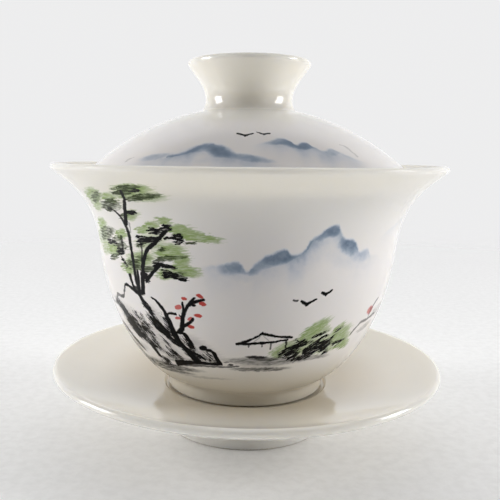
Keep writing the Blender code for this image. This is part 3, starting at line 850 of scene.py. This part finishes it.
PAPER_LOW = (17, 32)  # heights over which the paper colour comes in,
PAPER_HIGH = (69, 46)  # and over which it goes again
PAPER_ON_LID = (27, 22)  # ways up the dome over which it comes in
BOWL_POOL_AND_SHADE = 0.65  # how far the bowl's colour goes to the thick-glaze and painted-shade colour, at its foot,
BOWL_POOL_AND_SHADE_HEIGHT = 20  # and how far up it shows: thick glaze at the foot, and painted shade on the lower belly
# Painted shade and painted reflection on the saucer round the bowl's foot
SAUCER_SHADE = 0.75
SAUCER_SHADE_R = (42, 24)  # radii over which the painted shade comes in round the well,
SAUCER_SHADE_Z = (9.0, 10.5)  # and heights, so that the saucer's underside stays pale
BARE_HEIGHT = (0.45, 0.25)  # the biscuit shows up to here on a foot ring,
BARE_RAGGED = 0.12  # give or take this


def porcelain(name, colour_from, gloss):
    """Glossy glaze over thin ivory porcelain, its colour, roughness and relief a little uneven."""
    material = bpy.data.materials.new(name)
    material.use_nodes = True
    nodes = Nodes(material.node_tree)
    shader = material.node_tree.nodes["Principled BSDF"]
    place = nodes.add("ShaderNodeTexCoord").outputs["Object"]
    drift = nodes.noise(place, DRIFTS, 2.0, 0.5)[0]
    ivory = nodes.mix(nodes.between(drift, 0.3, 0.7, 0.0, 0.28), IVORY, IVORY_WARM)
    colour = colour_from(nodes, place, ivory) if colour_from else ivory
    nodes.set(shader.inputs["Base Color"], colour)
    smear = nodes.noise(place, SMEARS, 3.0, 0.6)[0]
    nodes.set(shader.inputs["Roughness"], nodes.between(smear, 0.3, 0.7, 0.025, 0.06))
    ripple = nodes.noise(place, RIPPLES, 1.0, 0.4)[0]
    relief = nodes.add("ShaderNodeBump", {"Height": ripple, "Strength": 0.35, "Distance": 0.0004})
    nodes.set(shader.inputs["Normal"], relief.outputs[0])
    shader.inputs["IOR"].default_value = 1.46
    shader.inputs["Specular IOR Level"].default_value = gloss
    shader.inputs["Subsurface Weight"].default_value = 0.7
    shader.inputs["Subsurface Radius"].default_value = (1.0, 0.95, 0.82)
    shader.inputs["Subsurface Scale"].default_value = 0.004
    return material


def in_mm(nodes, length):
    """A length on the object, from metres."""
    return nodes.math("MULTIPLY", length, 1 / MM)


def folded_turn(nodes, place):
    """The turn round the axis in radians, 0 in front, taken into one half turn."""
    x, y, _ = nodes.split(place)
    turn = nodes.math("ARCTAN2", x, nodes.math("MULTIPLY", y, -1.0))
    return nodes.math("WRAP", turn, HALF_SCENE, -HALF_SCENE)


def pooled_and_shaded(nodes, height, ivory):
    """The bowl's glaze, thicker and darker down towards its foot, and painted shade on the lower
    belly above it.
    """
    top = BOWL_FOOT_Z + BOWL_POOL_AND_SHADE_HEIGHT
    depth = nodes.between(height, top, BOWL_FOOT_Z, 0.0, BOWL_POOL_AND_SHADE)
    return nodes.mix(depth, ivory, POOLED_AND_SHADED)


def bared(nodes, place, height, glazed, bottom):
    """Bare biscuit on the lowest half millimetre, where a foot ring stands."""
    grain = nodes.noise(place, CRUMBS, 2.0, 0.7)[0]
    ragged = nodes.between(grain, 0.3, 0.7, -BARE_RAGGED, BARE_RAGGED)
    edge = nodes.math("ADD", height, ragged)
    bare = nodes.between(edge, bottom + BARE_HEIGHT[0], bottom + BARE_HEIGHT[1])
    return nodes.mix(bare, glazed, BISCUIT)


def bowl_colour(nodes, place, ivory):
    height = in_mm(nodes, nodes.split(place)[2])
    # darker and warmer towards the foot: thick glaze and painted shade
    return bared(nodes, place, height, pooled_and_shaded(nodes, height, ivory), BOWL_FOOT_Z)


def saucer_colour(nodes, place, ivory):
    """Painted shade round the well: the bowl's shadow on the saucer, and the bowl's dark
    reflection there.
    """
    height = in_mm(nodes, nodes.split(place)[2])
    radius = nodes.vector("LENGTH", nodes.vector("MULTIPLY", place, (1, 1, 0)))
    radius = in_mm(nodes, radius)
    above = nodes.between(height, *SAUCER_SHADE_Z)
    around = nodes.between(radius, *SAUCER_SHADE_R, 0.0, SAUCER_SHADE)
    glazed = nodes.mix(nodes.math("MULTIPLY", around, above), ivory, POOLED_AND_SHADED)
    return bared(nodes, place, height, glazed, 0.0)


def bowl_painting(sector):
    """The colour of the bowl's side, with what is painted inside a sector."""
    def colour(nodes, place, ivory):
        turn = folded_turn(nodes, place)
        height = in_mm(nodes, nodes.split(place)[2])
        # darker and warmer towards the foot: thick glaze and painted shade
        ivory = pooled_and_shaded(nodes, height, ivory)
        low = nodes.between(height, *PAPER_LOW)
        high = nodes.between(height, *PAPER_HIGH)
        ground = nodes.mix(nodes.math("MULTIPLY", low, high), ivory, PAPER)
        canvas = Canvas(nodes, turn, height, MM_PER_DEGREE, sector, ground)
        landscape(canvas)
        return canvas.colour
    return colour


def lid_painting(nodes, place, ivory):
    """The colour of the dome, whose height is the way up along it from the lid's edge."""
    turn = folded_turn(nodes, place)
    level = in_mm(nodes, nodes.split(place)[2])
    level = nodes.math("DIVIDE", nodes.math("SUBTRACT", level, DOME_CENTRE_Z), DOME_R)
    reach = nodes.math("MULTIPLY", nodes.math("ARCCOSINE", level), DOME_R)
    height = nodes.math("SUBTRACT", DOME_R * math.asin(LID_EDGE_R / DOME_R), reach)
    ground = nodes.mix(nodes.between(height, *PAPER_ON_LID), ivory, PAPER)
    canvas = Canvas(nodes, turn, height, LID_MM_PER_DEGREE, (-90, 90), ground)
    lid_landscape(canvas)
    return canvas.colour


# --- pieces ---
PAINTED_LEFT = (-90, -10)
PAINTED_RIGHT = (-10, 90)
PAINTED_TOP = 69.0
PAINTED_BOTTOM = 16.5
BOWL_GLOSS = 0.1  # low, so that its black ink stays black
GLOSS = 0.8

saucer_glaze = porcelain("saucer_glaze", saucer_colour, GLOSS)
bowl_plain = porcelain("bowl_glaze", bowl_colour, BOWL_GLOSS)
bowl_left = porcelain("bowl_landscape_left", bowl_painting(PAINTED_LEFT), BOWL_GLOSS)
bowl_right = porcelain("bowl_landscape_right", bowl_painting(PAINTED_RIGHT), BOWL_GLOSS)
lid_plain = porcelain("lid_glaze", None, GLOSS)
lid_painted = porcelain("lid_landscape", lid_painting, GLOSS)


def bowl_slot(upper, lower, turn):
    """0 plain, 1 and 2 the painted sectors.  Only the outer face of the side is painted."""
    outside = lower[1] < upper[1] and upper[0] > BOWL_FOOT_R
    if not outside or upper[1] > PAINTED_TOP or lower[1] < PAINTED_BOTTOM:
        return 0
    turn = (turn + 90) % 180 - 90
    return 1 if turn < PAINTED_LEFT[1] else 2


def lid_slot(upper, lower, _):
    """0 plain, 1 the painted dome."""
    outside = lower[1] < upper[1] and KNOB_SKIRT_R <= upper[0] < LID_EDGE_R
    on_dome = abs(math.dist(upper, (0, DOME_CENTRE_Z)) - DOME_R) < 0.01
    return 1 if outside and on_dome else 0


saucer = turned("saucer_turned", saucer_profile(), [saucer_glaze])
bowl = turned("bowl_turned", bowl_profile(), [bowl_plain, bowl_left, bowl_right], bowl_slot)
lid = turned("lid_turned", lid_profile(), [lid_plain, lid_painted], lid_slot)
for piece, node in ((saucer, "saucer"), (bowl, "bowl"), (lid, "lid")):
    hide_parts(node)
    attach(piece, node + "_body")


# --- studio ---
BACKDROP = (0.85, 0.85, 0.855, 1)
FLOOR = (0.97, 0.97, 0.97, 1)
FLOOR_SPECK = (0.90, 0.90, 0.90, 1)
FLOOR_R = 0.9
FLOOR_GRAIN = 400
FLOOR_FADE = (0.55, 0.12)  # gone beyond the first radius, whole inside the second

# Light from all round, as (Y of where it comes from, strength), with the camera at -1.
# The glaze mirrors less of it.
WORLD_LEVELS = [(-1, 0.05), (-0.6, 0.08), (-0.25, 0.22), (0, 0.6), (0.3, 0.95), (1, 1.15)]
MIRRORED_LEVELS = [(-1, 0.02), (0.45, 0.1), (0.66, 0.9), (1, 1.0)]
WORLD_BELOW = 0.7  # light that the floor throws up from out of sight

MIDDLE = (0, 0, 0.05)  # what the windows face
WINDOW_SIZE = (0.42, 0.60)
WINDOW_PLACE = (1.05, -0.04, 0.34)  # on the right, with its twin across the axis
WINDOW_POWER = 7.5
GLINT_POWER = 12.0  # more of each window, in the glaze's reflections only

CAMERA_PLACE = (0, -0.1783, 0.0727)
CAMERA_TURN = 1.89  # degrees to the left,
CAMERA_TIP = 8.10  # down,
CAMERA_ROLL = 0.60  # and over
LENS = 47.9
LENS_SHIFT = 0.05


def make_floor():
    mesh = bmesh.new()
    bmesh.ops.create_circle(mesh, cap_ends=True, segments=96, radius=FLOOR_R)
    data = bpy.data.meshes.new("floor")
    mesh.to_mesh(data)
    mesh.free()
    material = bpy.data.materials.new("floor")
    material.use_nodes = True
    nodes = Nodes(material.node_tree)
    shader = material.node_tree.nodes["Principled BSDF"]
    place = nodes.add("ShaderNodeTexCoord").outputs["Object"]
    grain = nodes.noise(place, FLOOR_GRAIN, 3.0, 0.6)[0]
    colour = nodes.mix(nodes.between(grain, 0.3, 0.7), FLOOR, FLOOR_SPECK)
    nodes.set(shader.inputs["Base Color"], colour)
    fade = nodes.between(nodes.vector("LENGTH", place), *FLOOR_FADE)
    nodes.set(shader.inputs["Alpha"], fade)
    shader.inputs["Roughness"].default_value = 0.6
    data.materials.append(material)
    floor = bpy.data.objects.new("floor", data)
    bpy.context.scene.collection.objects.link(floor)


def light_world():
    """Bright behind, above and at the sides, dark behind the camera, pale to look at."""
    world = bpy.data.worlds.new("studio")
    world.use_nodes = True
    tree = world.node_tree
    tree.nodes.clear()
    nodes = Nodes(tree)
    towards = nodes.add("ShaderNodeTexCoord").outputs["Generated"]
    _, back, up = nodes.split(towards)
    level = nodes.curve(back, WORLD_LEVELS)
    level = nodes.math("MAXIMUM", level, nodes.between(up, 0.0, -0.1, 0.0, WORLD_BELOW))
    mirrored = nodes.curve(back, MIRRORED_LEVELS)
    path = nodes.add("ShaderNodeLightPath").outputs
    gloss = nodes.math("SUBTRACT", mirrored, level)
    level = nodes.math("MULTIPLY_ADD", gloss, path["Is Glossy Ray"], level)
    lit = nodes.add("ShaderNodeBackground", {"Color": (1, 1, 1, 1), "Strength": level})
    seen = nodes.add("ShaderNodeBackground", {"Color": BACKDROP, "Strength": 1.0})
    camera = path["Is Camera Ray"]
    both = nodes.add("ShaderNodeMixShader", {0: camera, 1: lit.outputs[0], 2: seen.outputs[0]})
    nodes.add("ShaderNodeOutputWorld", {"Surface": both.outputs[0]})
    bpy.context.scene.world = world


def window(name, place, power, for_glaze_only=False):
    """A soft rectangular light that faces the gaiwan and isn't seen itself."""
    data = bpy.data.lights.new(name, "AREA")
    data.shape = "RECTANGLE"
    data.size, data.size_y = WINDOW_SIZE
    data.energy = power
    lamp = bpy.data.objects.new(name, data)
    bpy.context.scene.collection.objects.link(lamp)
    lamp.location = place
    lamp.rotation_euler = (Vector(MIDDLE) - Vector(place)).to_track_quat("-Z", "Y").to_euler()
    lamp.visible_camera = False
    lamp.visible_diffuse = not for_glaze_only


def place_camera():
    """Nearly square to the front, a little above the bowl's rim, and tipped down."""
    data = bpy.data.cameras.new("camera")
    data.lens = LENS
    data.shift_x = LENS_SHIFT
    camera = bpy.data.objects.new("camera", data)
    bpy.context.scene.collection.objects.link(camera)
    camera.rotation_mode = "QUATERNION"
    turn = Matrix.Rotation(math.radians(CAMERA_TURN), 4, "Z")
    tip = Matrix.Rotation(math.radians(90 - CAMERA_TIP), 4, "X")
    roll = Matrix.Rotation(math.radians(CAMERA_ROLL), 4, "Z")
    camera.matrix_world = Matrix.Translation(CAMERA_PLACE) @ turn @ tip @ roll
    bpy.context.scene.camera = camera


make_floor()
light_world()
for name, side in (("left", -1), ("right", 1)):
    place = (side * WINDOW_PLACE[0], *WINDOW_PLACE[1:])
    window("window_" + name, place, WINDOW_POWER)
    window("glint_" + name, place, GLINT_POWER, for_glaze_only=True)
place_camera()
bpy.context.scene.view_settings.view_transform = "Standard"
